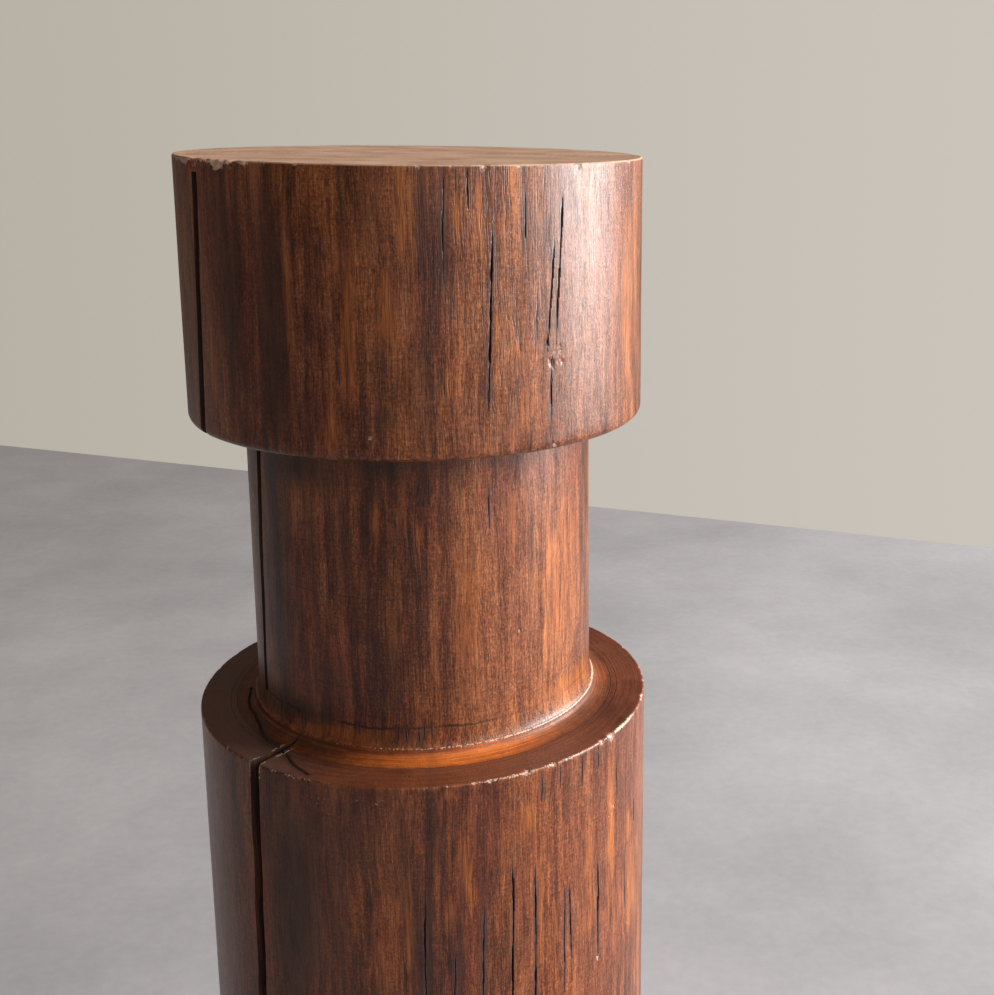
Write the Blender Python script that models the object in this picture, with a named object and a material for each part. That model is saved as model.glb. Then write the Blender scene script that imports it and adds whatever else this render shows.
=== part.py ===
"""Wooden plinth: one turned piece of solid hardwood, with a heavy cap, a neck and a tall drum.

Heights are measured up from the underside, which is at z = 0, and the turning axis is Z.
A bearing is the angle round the axis from the front (-Y), positive towards +X.
"""

import math

import bmesh
import bpy

# Overall sizes
TOTAL_HEIGHT = 1.000
CAP_HEIGHT = 0.157
NECK_HEIGHT = 0.191

# Radii. The drum's head sets them all: the neck is stepped in from it, and the cap stands out
# over the neck. Each length is a little wider at its foot than at its head.
DRUM_TOP_RADIUS = 0.1472
DRUM_SPREAD = 0.0064
SHOULDER_WIDTH = 0.0376
NECK_SPREAD = 0.0014
CAP_OVERHANG = 0.0332
CAP_SPREAD = 0.0014

# Edges
CAP_TOP_ROUND = 0.0012
CAP_FOOT_ROUND = 0.0045
DRUM_TOP_ROUND = 0.0015
DRUM_FOOT_ROUND = 0.0030
ROUND_STEPS = 4

# Foot of the neck: it spreads in a hollow curve to a small lip, and a ring slopes down from the lip
SPREAD_HEIGHT = 0.0190
SPREAD_WIDTH = 0.0030
LIP_HEIGHT = 0.0015
RING_RISE = 0.0050
RING_WIDTH = 0.0115
HOLLOW_STEPS = 5

# Turning
TURN_STEPS = 72
SHARP_EDGE = math.radians(28)
WELD = 0.00001

# Drying split. It opens at the skin and closes towards the heart of the log. Bearings and openings
# are given at the head and at the foot of each length. The cap and the neck share one line, and
# the drum has its own, nearer the front. The cap's stops short of the top face, where it is
# filled, and the drum's starts just outside the lip.
SPLIT_TOP_FILL = 0.0075
CAP_SPLIT_BEARINGS = (-57.5, -61.5)
CAP_SPLIT_OPENINGS = (0.0060, 0.0078)
CAP_SPLIT_DEPTH = 0.060
NECK_SPLIT_BEARINGS = (-62.0, -67.0)
NECK_SPLIT_OPENINGS = (0.0066, 0.0050)
NECK_SPLIT_DEPTH = 0.035
NECK_SPLIT_FOOT = 0.0120
DRUM_SPLIT_BEARINGS = (-44.0, -53.0)
DRUM_SPLIT_OPENINGS = (0.0076, 0.0090)
DRUM_SPLIT_DEPTH = 0.060
SPLIT_LIP_GAP = 0.0010
SPLIT_HEART_WIDTH = 0.0006
OVERCUT = 0.0100

# Radii and levels that follow from the sizes above
DRUM_FOOT_RADIUS = DRUM_TOP_RADIUS + DRUM_SPREAD
NECK_FOOT_RADIUS = DRUM_TOP_RADIUS - SHOULDER_WIDTH
NECK_TOP_RADIUS = NECK_FOOT_RADIUS - NECK_SPREAD
CAP_FOOT_RADIUS = NECK_TOP_RADIUS + CAP_OVERHANG
CAP_TOP_RADIUS = CAP_FOOT_RADIUS - CAP_SPREAD
CAP_FOOT = TOTAL_HEIGHT - CAP_HEIGHT
SHOULDER = CAP_FOOT - NECK_HEIGHT
LIP_RADIUS = NECK_FOOT_RADIUS + SPREAD_WIDTH
RING_TOP = SHOULDER + RING_RISE
LIP_TOP = RING_TOP + LIP_HEIGHT


def clear_scene():
    """Remove whatever the scene holds."""
    for obj in list(bpy.data.objects):
        bpy.data.objects.remove(obj, do_unlink=True)


def rounded_edge(edge_radius, level, size, start_deg):
    """Points (r, z) of a quarter round on an outer edge, from start_deg down through 90 degrees.

    The edge it rounds is at (edge_radius, level): an upper one starts at 90, a lower one at 0.
    """
    middle = level - size if start_deg else level + size
    points = []
    for step in range(ROUND_STEPS + 1):
        angle = math.radians(start_deg - 90 * step / ROUND_STEPS)
        points.append((edge_radius - size + size * math.cos(angle), middle + size * math.sin(angle)))
    return points


def hollow_curve(inner_radius, foot, width, height):
    """Points of a hollow quarter oval from (inner_radius, foot + height) out to its level foot."""
    points = []
    for step in range(HOLLOW_STEPS + 1):
        angle = math.radians(90 * step / HOLLOW_STEPS)
        points.append((inner_radius + width * (1 - math.cos(angle)), foot + height * (1 - math.sin(angle))))
    return points


def turned_outline():
    """The outline of the turning, from the rim of the top face down to the rim of the underside."""
    outline = rounded_edge(CAP_TOP_RADIUS, TOTAL_HEIGHT, CAP_TOP_ROUND, 90)
    outline += rounded_edge(CAP_FOOT_RADIUS, CAP_FOOT, CAP_FOOT_ROUND, 0)
    outline.append((NECK_TOP_RADIUS, CAP_FOOT))
    outline += hollow_curve(NECK_FOOT_RADIUS, LIP_TOP, SPREAD_WIDTH, SPREAD_HEIGHT)
    outline += hollow_curve(LIP_RADIUS, SHOULDER, RING_WIDTH, RING_RISE)
    outline += rounded_edge(DRUM_TOP_RADIUS, SHOULDER, DRUM_TOP_ROUND, 90)
    outline += rounded_edge(DRUM_FOOT_RADIUS, 0, DRUM_FOOT_ROUND, 0)
    return outline


def new_object(name, bm):
    """Put a bmesh into the scene as an object with its faces pointing out."""
    bmesh.ops.recalc_face_normals(bm, faces=bm.faces)
    mesh = bpy.data.meshes.new(name)
    bm.to_mesh(mesh)
    bm.free()
    obj = bpy.data.objects.new(name, mesh)
    bpy.context.scene.collection.objects.link(obj)
    return obj


def turned_body(name):
    """Spin the outline once round the axis, and close the top face and the underside."""
    bm = bmesh.new()
    verts = [bm.verts.new((r, 0, z)) for r, z in turned_outline()]
    edges = [bm.edges.new(pair) for pair in zip(verts, verts[1:])]
    bmesh.ops.spin(
        bm,
        geom=verts + edges,
        cent=(0, 0, 0),
        axis=(0, 0, 1),
        angle=math.tau,
        steps=TURN_STEPS,
        use_merge=True,
    )
    bmesh.ops.remove_doubles(bm, verts=bm.verts, dist=WELD)
    open_edges = [edge for edge in bm.edges if edge.is_boundary]
    bmesh.ops.edgeloop_fill(bm, edges=open_edges)
    obj = new_object(name, bm)
    obj.data.shade_smooth()
    obj.data.set_sharp_from_angle(angle=SHARP_EDGE)
    return obj


def split_section(bearing_deg, opening, skin_radius, depth):
    """Four corners (x, y) of the split at one height: narrow at the heart, past the skin outside."""
    bearing = math.radians(bearing_deg)
    heart_radius = skin_radius - depth
    outside_radius = skin_radius + OVERCUT
    outside_opening = opening + (opening - SPLIT_HEART_WIDTH) * OVERCUT / depth
    corners = []
    for radius, sideways in (
        (heart_radius, -SPLIT_HEART_WIDTH / 2),
        (outside_radius, -outside_opening / 2),
        (outside_radius, outside_opening / 2),
        (heart_radius, SPLIT_HEART_WIDTH / 2),
    ):
        x = radius * math.sin(bearing) + sideways * math.cos(bearing)
        y = -radius * math.cos(bearing) + sideways * math.sin(bearing)
        corners.append((x, y))
    return corners


def split_cutter(name, levels, bearings, openings, skin_radii, depths):
    """Loft one length of the split, from its values at the head to those at the foot."""
    bm = bmesh.new()
    ends = []
    for level, *section in zip(levels, bearings, openings, skin_radii, depths):
        ends.append([bm.verts.new((x, y, level)) for x, y in split_section(*section)])
    head, foot = ends
    for corner in range(len(head)):
        after = (corner + 1) % len(head)
        bm.faces.new((head[corner], head[after], foot[after], foot[corner]))
    bm.faces.new(head)
    bm.faces.new(foot)
    cutter = new_object(name, bm)
    cutter.hide_render = True
    cutter.display_type = "WIRE"
    return cutter


def cut(body, cutter):
    """Take a cutter out of the body."""
    boolean = body.modifiers.new(cutter.name, "BOOLEAN")
    boolean.operation = "DIFFERENCE"
    boolean.solver = "EXACT"
    boolean.object = cutter


def wood():
    """Dark oiled hardwood."""
    material = bpy.data.materials.new("wood")
    material.use_nodes = True
    shader = material.node_tree.nodes["Principled BSDF"]
    shader.inputs["Base Color"].default_value = (0.130, 0.050, 0.022, 1.0)
    shader.inputs["Roughness"].default_value = 0.38
    shader.inputs["Metallic"].default_value = 0.0
    return material


def build():
    """Turn the plinth, open its splits and give it its finish."""
    clear_scene()
    plinth = turned_body("plinth")
    plinth.data.materials.append(wood())

    cut(plinth, split_cutter(
        "cap_split",
        levels=(TOTAL_HEIGHT - SPLIT_TOP_FILL, CAP_FOOT - OVERCUT),
        bearings=CAP_SPLIT_BEARINGS,
        openings=CAP_SPLIT_OPENINGS,
        skin_radii=(CAP_TOP_RADIUS, CAP_FOOT_RADIUS),
        depths=(CAP_SPLIT_DEPTH, CAP_SPLIT_DEPTH),
    ))
    cut(plinth, split_cutter(
        "neck_split",
        levels=(CAP_FOOT + OVERCUT, LIP_TOP + NECK_SPLIT_FOOT),
        bearings=NECK_SPLIT_BEARINGS,
        openings=NECK_SPLIT_OPENINGS,
        skin_radii=(NECK_TOP_RADIUS, NECK_FOOT_RADIUS),
        depths=(NECK_SPLIT_DEPTH, NECK_SPLIT_DEPTH),
    ))
    cut(plinth, split_cutter(
        "drum_split",
        levels=(LIP_TOP + OVERCUT, -OVERCUT),
        bearings=DRUM_SPLIT_BEARINGS,
        openings=DRUM_SPLIT_OPENINGS,
        skin_radii=(DRUM_TOP_RADIUS, DRUM_FOOT_RADIUS),
        depths=(DRUM_TOP_RADIUS - LIP_RADIUS - SPLIT_LIP_GAP, DRUM_SPLIT_DEPTH),
    ))


build()
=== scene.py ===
# Looks of the wooden plinth: one turned length of old oiled hardwood, split, checked and worn.
import math
from collections import namedtuple

import bmesh
import bpy
import numpy as np
from mathutils import Matrix, Vector


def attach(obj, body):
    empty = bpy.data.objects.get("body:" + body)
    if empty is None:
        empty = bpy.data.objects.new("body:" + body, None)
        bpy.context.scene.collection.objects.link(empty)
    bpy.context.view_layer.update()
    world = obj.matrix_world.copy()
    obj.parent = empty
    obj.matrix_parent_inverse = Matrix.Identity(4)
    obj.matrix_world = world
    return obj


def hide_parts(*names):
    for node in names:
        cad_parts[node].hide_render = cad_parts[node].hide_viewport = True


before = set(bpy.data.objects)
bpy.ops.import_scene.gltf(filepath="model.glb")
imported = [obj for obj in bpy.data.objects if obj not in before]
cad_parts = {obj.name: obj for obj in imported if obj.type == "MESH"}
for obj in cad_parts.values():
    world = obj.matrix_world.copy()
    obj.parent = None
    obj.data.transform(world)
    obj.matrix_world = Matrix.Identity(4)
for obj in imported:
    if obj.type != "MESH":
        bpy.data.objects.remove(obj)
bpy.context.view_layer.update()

# Turning, the same sizes as the part
TOTAL_HEIGHT = 1.000
CAP_FOOT = 0.843
SHOULDER = 0.652
DRUM_FOOT_RADIUS = 0.1536
DRUM_TOP_RADIUS = 0.1472
NECK_FOOT_RADIUS = 0.1096
NECK_TOP_RADIUS = 0.1082
CAP_FOOT_RADIUS = 0.1414
CAP_TOP_RADIUS = 0.1400
CAP_TOP_ROUND = 0.0012
CAP_FOOT_ROUND = 0.0045
DRUM_TOP_ROUND = 0.0015
DRUM_FOOT_ROUND = 0.0030
SPREAD_HEIGHT = 0.0190
SPREAD_WIDTH = 0.0030
RING_RISE = 0.0050
RING_WIDTH = 0.0115
LIP_HEIGHT = 0.0015
LIP_RADIUS = NECK_FOOT_RADIUS + SPREAD_WIDTH
RING_RADIUS = LIP_RADIUS + RING_WIDTH
RING_TOP = SHOULDER + RING_RISE
LIP_TOP = RING_TOP + LIP_HEIGHT
LIP_SOFT = 0.0004

# Mesh of the turning
AROUND = 240
ROUND_STEPS = 6
HOLLOW_STEPS = 8
COARSE_TOP = 0.440
RIM_ROWS = (0.0015, 0.0032, 0.0055)
COARSE_ROWS = 28
DRUM_ROWS = 37
NECK_ROWS = 29
CAP_ROWS = 27
UNDER_ROWS = 5
BAND_ROWS = 5
TOP_INSETS = (0.0013, 0.0019, 0.0028, 0.0045, 0.007, 0.010, 0.012, 0.013, 0.014, 0.015, 0.016, 0.017)
UNDERSIDE_INSETS = (0.02, 0.04, 0.05)
SHAKE_REACHES = (0.0050, 0.0032, 0.0020)
RIM_REACHES = ((0.0052, 181), (0.0030, 95))
CHECK_REACHES = (0.0060, 0.0036, 0.0022, 0.0013)
HAIR = 0.00004
ON_WALL = 0.0016
AT_CHECK = 0.0075
SMOOTH_ANGLE = math.radians(32)

# Splits, the same bearings and openings as the part
OVERCUT = 0.0100
SPLIT_HEART_WIDTH = 0.0006
SPLIT_TOP_FILL = 0.0075
Split = namedtuple("Split", "name levels bearings openings skins depths stations")
SPLITS = (
    Split("cap_split", (TOTAL_HEIGHT - SPLIT_TOP_FILL, CAP_FOOT - OVERCUT), (-57.5, -61.5),
          (0.0060, 0.0078), (CAP_TOP_RADIUS, CAP_FOOT_RADIUS), (0.060, 0.060), 42),
    Split("neck_split", (CAP_FOOT + OVERCUT, LIP_TOP + 0.0120), (-62.0, -67.0),
          (0.0066, 0.0050), (NECK_TOP_RADIUS, NECK_FOOT_RADIUS), (0.035, 0.035), 44),
    Split("drum_split", (LIP_TOP + OVERCUT, -OVERCUT), (-44.0, -53.0),
          (0.0076, 0.0090), (DRUM_TOP_RADIUS, DRUM_FOOT_RADIUS), (0.0336, 0.060), 120),
)
WALL_STRIPS = 4
SWING = 0.0008
SWING_STEP = 0.030
FRAY = 0.00022
FRAY_STEP = 0.0065

# Checks: bearing in degrees and height of the head and of the foot, opening and depth in metres
Check = namedtuple("Check", "head foot opening depth")
CHECKS = (
    Check((6.1, 0.9990), (5.7, 0.9430), 0.0010, 0.0012),
    Check((11.4, 0.9990), (11.3, 0.9780), 0.0010, 0.0012),
    Check((16.7, 0.9700), (15.2, 0.8700), 0.0017, 0.0040),
    Check((24.6, 0.9860), (24.6, 0.9560), 0.0011, 0.0018),
    Check((34.4, 0.9830), (32.2, 0.9020), 0.0023, 0.0050),
    Check((32.2, 0.9600), (29.7, 0.8980), 0.0015, 0.0034),
    Check((31.1, 0.8970), (31.0, 0.8620), 0.0014, 0.0030),
    Check((27.5, 0.9300), (27.0, 0.9060), 0.0008, 0.0010),
    Check((20.8, 0.8150), (20.6, 0.7910), 0.0012, 0.0018),
    Check((18.9, 0.5960), (18.2, 0.4300), 0.0022, 0.0050),
    Check((24.6, 0.5870), (24.2, 0.4520), 0.0019, 0.0044),
    Check((32.9, 0.5660), (32.8, 0.4900), 0.0013, 0.0024),
    Check((34.4, 0.5660), (35.3, 0.5080), 0.0014, 0.0026),
    Check((44.3, 0.5690), (44.7, 0.5000), 0.0023, 0.0040),
    Check((44.7, 0.6500), (44.8, 0.6340), 0.0012, 0.0014),
    Check((63.6, 0.5890), (63.9, 0.5750), 0.0018, 0.0020),
    Check((-1.9, 0.5800), (-2.6, 0.4900), 0.0014, 0.0022),
    Check((11.5, 0.5650), (11.0, 0.4650), 0.0010, 0.0016),
    Check((26.5, 0.6500), (26.4, 0.6300), 0.0009, 0.0012),
    Check((31.8, 0.6500), (31.6, 0.6370), 0.0009, 0.0012),
    Check((38.6, 0.6500), (38.4, 0.6290), 0.0010, 0.0012),
    Check((52.5, 0.6300), (52.9, 0.6020), 0.0010, 0.0014),
    Check((57.2, 0.5580), (57.5, 0.5160), 0.0009, 0.0012),
    Check((4.5, 0.5400), (4.2, 0.4300), 0.0012, 0.0018),
)
CHECK_GAPE = 0.72
CHECK_SWAYS = ((0.0005, 0.022, 0), (0.00028, 0.0045, 500))
CHECK_TAPERS = (0.16, 0.30)
CHECK_RAGGED = (0.72, 0.42, 0.007)
CHECK_OVERRUN = 0.004
CHECK_RIM_FADE = 0.006

# Small checks on the sides and the back, and low ones under the front
HIDDEN_CHECKS = 26
HIDDEN_SPAN = (78, 300)
HIDDEN_STRETCHES = ((0.03, 0.63), (0.03, 0.63), (0.69, 0.83), (0.87, 0.985))
HIDDEN_LENGTH = (0.02, 0.13)
HIDDEN_LONGEST = 0.7
HIDDEN_LEAN = 1.2
HIDDEN_OPENING = (0.0009, 0.0021)
HIDDEN_DEPTH = 1.9
LOW_CHECKS = ((-30.0, 0.40), (10.0, 0.36), (48.0, 0.30), (-12.0, 0.22), (30.0, 0.20), (70.0, 0.38))
LOW_LENGTH = 0.11
LOW_LEAN = 0.8
LOW_OPENING = 0.0017
LOW_DEPTH = 0.0032

# Short nicks on the neck's foot
TICKS = 13
TICK_SPAN = (-60.0, 2.0)
TICK_HEAD = (0.6685, 0.6735)
TICK_FOOT = (0.6610, 0.6650)
TICK_LEAN = 0.4
TICK_OPENING = 0.0010
TICK_DEPTH = 0.0004
SEED = 11

# Scoops out of the rims and the skin: bearing, height, radius of the scoop, depth
Chip = namedtuple("Chip", "bearing height radius depth")
CHIPS = (
    Chip(50.1, 0.6518, 0.0050, 0.0014),
    Chip(46.0, 0.6518, 0.0032, 0.0008),
    Chip(22.8, 0.6518, 0.0042, 0.0010),
    Chip(30.0, 0.6518, 0.0030, 0.0007),
    Chip(44.7, 0.5000, 0.0028, 0.0008),
    Chip(31.0, 0.8930, 0.0024, 0.0009),
    Chip(-10.9, 0.8570, 0.0022, 0.0007),
    Chip(31.8, 0.8450, 0.0036, 0.0009),
    Chip(-9.2, 0.9460, 0.0014, 0.0012),
    Chip(30.9, 0.7240, 0.0014, 0.0006),
    Chip(-58.5, 0.9985, 0.0056, 0.0030),
    Chip(-53.0, 0.9990, 0.0038, 0.0018),
    Chip(-49.0, 0.9990, 0.0034, 0.0016),
    Chip(-46.5, 0.9985, 0.0050, 0.0027),
    Chip(-42.5, 0.9985, 0.0044, 0.0022),
    Chip(-38.0, 0.9992, 0.0026, 0.0010),
    Chip(39.0, 0.9995, 0.0034, 0.0008),
    Chip(61.0, 0.9995, 0.0030, 0.0006),
    Chip(74.0, 0.6518, 0.0030, 0.0006),
)
RIM_NICKS = 60
RIM_NICK_SIZE = (0.0009, 0.0026)
RIM_NICK_DEPTH = (0.06, 0.18)
RIM_NICK_DROP = 0.0004
BRUISES = (
    (-26.0, 0.6390), (-23.0, 0.6330), (-11.8, 0.6400), (-10.5, 0.6330), (57.5, 0.5040), (58.5, 0.4990),
    (56.5, 0.5100), (32.6, 0.8990), (33.0, 0.8930), (-17.0, 0.6420), (62.0, 0.6240), (50.0, 0.5990),
)
BRUISE_PITS = 8
PIT_REACHES = (0.0078, 0.0064, 0.0052)
AT_RIM = 0.002
CAP_RIM_CHIPS = 0.01
BRUISE_SPREAD = (1.6, 0.0040)
PIT_SIZE = (0.0006, 0.0014)
PIT_DEPTH = 0.22

# Slow and fine wear of the skin outside a radius, and wear of the top face
UNWORN_RADIUS = 0.1
SLOW_WEAR = 0.00030
FINE_WEAR = 0.00010
TOP_WEAR = 0.00025

# Growth shake on the shoulder: bearing and radius of the points it runs through
SHAKE = ((-90.0, 0.1160), (-83.5, 0.1166), (-69.0, 0.1168), (-61.0, 0.1189), (-52.0, 0.1237),
         (-48.0, 0.1245), (-41.0, 0.1297), (-32.5, 0.1392), (-30.0, 0.1420))
SHAKE_OPENING = 0.0020
SHAKE_DEPTH = 0.0011
SHAKE_STAIN = 0.0060

# Painted patches of worn amber; of old smoky wax, with painted shade in a ring under the cap's overhang;
# and of even colour, with a cool painted sheen on the lit right side:
# bearing, height, half width in degrees, half height, strength
AMBER = (
    (-2.8, 0.978, 1.4, 0.026, 1.0), (-6.5, 0.928, 2.2, 0.022, 1.0), (-15.0, 0.915, 2.2, 0.050, 0.9),
    (-19.8, 0.862, 1.7, 0.018, 1.0), (-29.0, 0.928, 1.2, 0.034, 0.7), (-53.5, 0.895, 2.0, 0.045, 0.5),
    (-67.0, 0.920, 5.0, 0.070, 0.4), (9.0, 0.972, 1.4, 0.014, 0.9), (13.6, 0.975, 1.1, 0.018, 0.8),
    (18.5, 0.968, 1.5, 0.006, 0.8), (18.0, 0.918, 1.5, 0.012, 0.8), (22.0, 0.899, 2.0, 0.010, 0.7),
    (62.0, 0.925, 9.0, 0.060, 0.7), (-0.5, 0.955, 1.2, 0.030, 0.6), (20.5, 0.857, 1.6, 0.006, 0.7),
    (6.0, 0.880, 3.0, 0.030, 0.4), (24.0, 0.866, 4.0, 0.014, 0.5),
    (-1.0, 0.790, 1.2, 0.012, 1.0), (-15.0, 0.795, 2.0, 0.014, 0.8), (-5.5, 0.806, 3.0, 0.018, 0.5),
    (-34.5, 0.800, 1.1, 0.030, 0.4), (12.5, 0.735, 5.5, 0.045, 0.6), (29.0, 0.790, 4.0, 0.030, 0.5),
    (50.0, 0.750, 16.0, 0.070, 0.6), (-1.5, 0.682, 1.6, 0.004, 1.0), (-22.0, 0.6635, 36.0, 0.006, 1.0),
    (55.0, 0.672, 25.0, 0.012, 0.8), (-8.0, 0.740, 2.2, 0.030, 0.4), (2.0, 0.705, 2.0, 0.020, 0.5),
    (3.6, 0.646, 1.7, 0.005, 1.0), (8.0, 0.598, 1.5, 0.040, 0.9), (3.6, 0.610, 1.3, 0.014, 0.6),
    (22.5, 0.620, 3.2, 0.012, 0.9), (15.5, 0.605, 3.0, 0.020, 0.5), (29.8, 0.540, 1.1, 0.030, 1.0),
    (26.0, 0.555, 1.6, 0.045, 0.6), (50.0, 0.580, 2.0, 0.060, 0.8), (60.0, 0.575, 2.0, 0.014, 1.0),
    (62.0, 0.530, 10.0, 0.040, 0.6), (-6.0, 0.550, 1.4, 0.045, 0.9), (-13.0, 0.540, 1.3, 0.030, 0.7),
    (3.6, 0.563, 1.5, 0.016, 0.8), (8.5, 0.572, 1.3, 0.009, 1.0), (18.0, 0.530, 1.4, 0.050, 0.5),
    (41.0, 0.560, 3.0, 0.050, 0.5), (110.0, 0.880, 14.0, 0.060, 0.5), (150.0, 0.760, 18.0, 0.070, 0.6),
    (200.0, 0.560, 12.0, 0.140, 0.5), (-110.0, 0.520, 6.0, 0.160, 0.5), (120.0, 0.420, 6.0, 0.160, 0.6),
    (16.0, 0.330, 5.0, 0.120, 0.7), (-140.0, 0.900, 8.0, 0.050, 0.6), (60.0, 0.200, 8.0, 0.140, 0.6),
    (-20.0, 0.180, 6.0, 0.120, 0.5), (250.0, 0.300, 8.0, 0.140, 0.5), (36.0, 0.400, 3.0, 0.070, 0.6),
    (8.0, 0.654, 34.0, 0.0040, 1.0), (85.0, 0.620, 7.0, 0.040, 0.6), (95.0, 0.480, 4.0, 0.090, 0.6),
    (170.0, 0.250, 7.0, 0.130, 0.5),
)
SMOKE_AND_SHADE = (
    (-33.0, 0.925, 4.6, 0.085, 1.0), (-46.0, 0.940, 4.6, 0.060, 0.8), (-9.5, 0.975, 3.5, 0.020, 0.4),
    (1.2, 0.975, 1.8, 0.030, 0.7), (5.6, 0.965, 1.3, 0.033, 0.9), (0.5, 0.885, 3.2, 0.035, 0.5),
    (24.3, 0.968, 1.1, 0.018, 0.6), (28.0, 0.965, 3.5, 0.020, 0.3), (-8.0, 0.868, 2.2, 0.006, 0.8),
    (-22.0, 0.960, 3.0, 0.030, 0.3), (-24.0, 0.862, 2.0, 0.014, 0.5),
    # The patches at heights 0.828 to 0.835, here and further down, are painted shade under the cap's
    # overhang
    (-42.0, 0.828, 22.0, 0.016, 1.0), (-12.0, 0.834, 14.0, 0.008, 0.8), (-37.0, 0.780, 1.8, 0.050, 0.7),
    (-25.0, 0.785, 1.9, 0.035, 0.8), (-18.0, 0.780, 1.2, 0.040, 0.6), (0.8, 0.826, 1.7, 0.018, 0.7),
    (8.0, 0.832, 4.0, 0.008, 0.5), (-52.0, 0.750, 9.0, 0.070, 0.6), (-32.0, 0.690, 10.0, 0.025, 0.6),
    (-45.0, 0.672, 18.0, 0.008, 1.0), (36.0, 0.775, 1.3, 0.030, 0.4), (-10.0, 0.715, 2.0, 0.030, 0.5),
    (22.0, 0.835, 14.0, 0.006, 0.4), (-12.0, 0.664, 10.0, 0.005, 0.6),
    (-32.0, 0.575, 9.5, 0.085, 1.0), (-22.0, 0.570, 2.6, 0.080, 0.7), (-20.0, 0.625, 9.0, 0.025, 0.6),
    (-6.5, 0.610, 2.0, 0.035, 0.6),
    (-4.0, 0.545, 1.5, 0.050, 0.7), (-1.0, 0.545, 1.3, 0.050, 0.6), (0.6, 0.625, 1.3, 0.030, 0.5),
    (5.7, 0.540, 1.2, 0.040, 0.7), (11.3, 0.550, 1.1, 0.050, 0.7), (34.0, 0.632, 2.0, 0.018, 0.5),
    (-55.0, 0.620, 8.0, 0.030, 0.3), (38.0, 0.540, 1.6, 0.060, 0.4), (28.0, 0.640, 3.0, 0.010, 0.4),
    (-70.0, 0.500, 14.0, 0.120, 0.4), (170.0, 0.900, 8.0, 0.060, 0.6), (100.0, 0.600, 7.0, 0.050, 0.4),
    (220.0, 0.480, 10.0, 0.160, 0.7), (140.0, 0.300, 8.0, 0.160, 0.6), (-100.0, 0.280, 9.0, 0.160, 0.6),
    (0.0, 0.060, 60.0, 0.040, 0.4), (180.0, 0.060, 80.0, 0.040, 0.5), (-30.0, 0.400, 9.0, 0.090, 0.6),
    (28.0, 0.280, 6.0, 0.090, 0.6), (78.0, 0.320, 5.0, 0.100, 0.5), (120.0, 0.830, 30.0, 0.010, 0.7),
    (200.0, 0.830, 40.0, 0.012, 0.9), (-100.0, 0.828, 30.0, 0.014, 0.9),
)
# Even patches calm, lighten and cool the wood; on the lit right side this is a painted sheen
EVEN_AND_SHEEN = (
    (46.0, 0.925, 20.0, 0.090, 1.0), (24.0, 0.745, 24.0, 0.085, 0.9), (52.0, 0.770, 18.0, 0.090, 0.9),
    (54.0, 0.590, 20.0, 0.110, 1.0), (30.0, 0.620, 14.0, 0.045, 0.7), (-60.0, 0.560, 10.0, 0.120, 0.7),
    (-56.0, 0.900, 6.0, 0.050, 0.6), (140.0, 0.500, 20.0, 0.150, 0.6), (-120.0, 0.750, 24.0, 0.090, 0.6),
    (200.0, 0.900, 22.0, 0.080, 0.6), (30.0, 0.160, 24.0, 0.120, 0.5),
)

# How much the rims are rubbed, from bearing to bearing; on the drum's rim the high values on the lit right
# side are painted highlight as well as wear
CAP_RIM_WEAR = (
    (-180, 0.3), (-80, 0.5), (-66, 1.6), (-60, 3.2), (-56, 1.8), (-53, 2.2), (-49, 3.4), (-42, 2.8),
    (-37, 0.8), (-30, 0.1), (8, 0.15), (25, 0.45), (45, 0.3), (70, 0.3), (120, 0.5), (180, 0.3),
)
CAP_FOOT_WEAR = (
    (-180, 0.2), (-40, 0.1), (0, 0.15), (18, 0.45), (40, 0.6), (75, 0.5), (110, 0.2), (180, 0.2),
)
DRUM_RIM_WEAR_AND_HIGHLIGHT = (
    (-180, 0.3), (-60, 0.3), (-44, 0.55), (-24, 0.5), (-18, 0.1), (4, 0.2), (12, 0.75), (24, 0.9),
    (34, 0.6), (44, 0.9), (58, 1.0), (75, 0.6), (100, 0.3), (180, 0.3),
)
RUB_WIDTH = (0.0007, 0.0012)
RUB_INSET = 0.0004

# Turned lines: radius and half width on the shoulder; height, half width and strength on the neck
SHOULDER_LINES = ((0.1243, 0.00032), (0.1282, 0.00022))
NECK_LINES = ((0.6710, 0.00075, 1.0), (0.7525, 0.00035, 0.55), (0.6950, 0.00035, 0.50))

# The pale lips of the drum's split, a painted highlight: distance from its middle, and their width
CLEFT_LIP = 0.0040
CLEFT_LIP_WIDTH = 0.0011
CLEFT_LIP_DROP = 0.012

# Camera: place, turn, tilt and lean in radians, lens in millimetres, framing shift
CAMERA_PLACE = (0.0, -0.8377, 1.0332)
CAMERA_TURN = 0.1515
CAMERA_TILT = 0.2722
CAMERA_LEAN = 0.0136
CAMERA_LENS = 47.96
CAMERA_SHIFT = (-0.12, -0.028)

# Floor and light
FLOOR_SIZE = 14.0
FLOOR_FAR_EDGE = 2.42
FLOOR_TURN = math.radians(-25.5)
FILL_SIDE = (0.90, -0.43, 0.0)
ROOM_DIM = (0.150, 0.110, 0.084)
ROOM_BRIGHT = (1.000, 0.910, 0.830)
WINDOW_BEARING = math.radians(88)
WINDOW_DISTANCE = 4.4
WINDOW_HEIGHT = 1.9
WINDOW_SIZE = (2.7, 3.5)
WINDOW_POWER = 690.0


# Modelling, as by hand

def clean_slate():
    """Leave edit mode and deselect everything."""
    if bpy.context.object and bpy.context.object.mode != "OBJECT":
        bpy.ops.object.mode_set(mode="OBJECT")
    bpy.ops.object.select_all(action="DESELECT")


def make_active(piece):
    """Select one piece and make it the active one."""
    clean_slate()
    piece.select_set(True)
    bpy.context.view_layer.objects.active = piece


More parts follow.
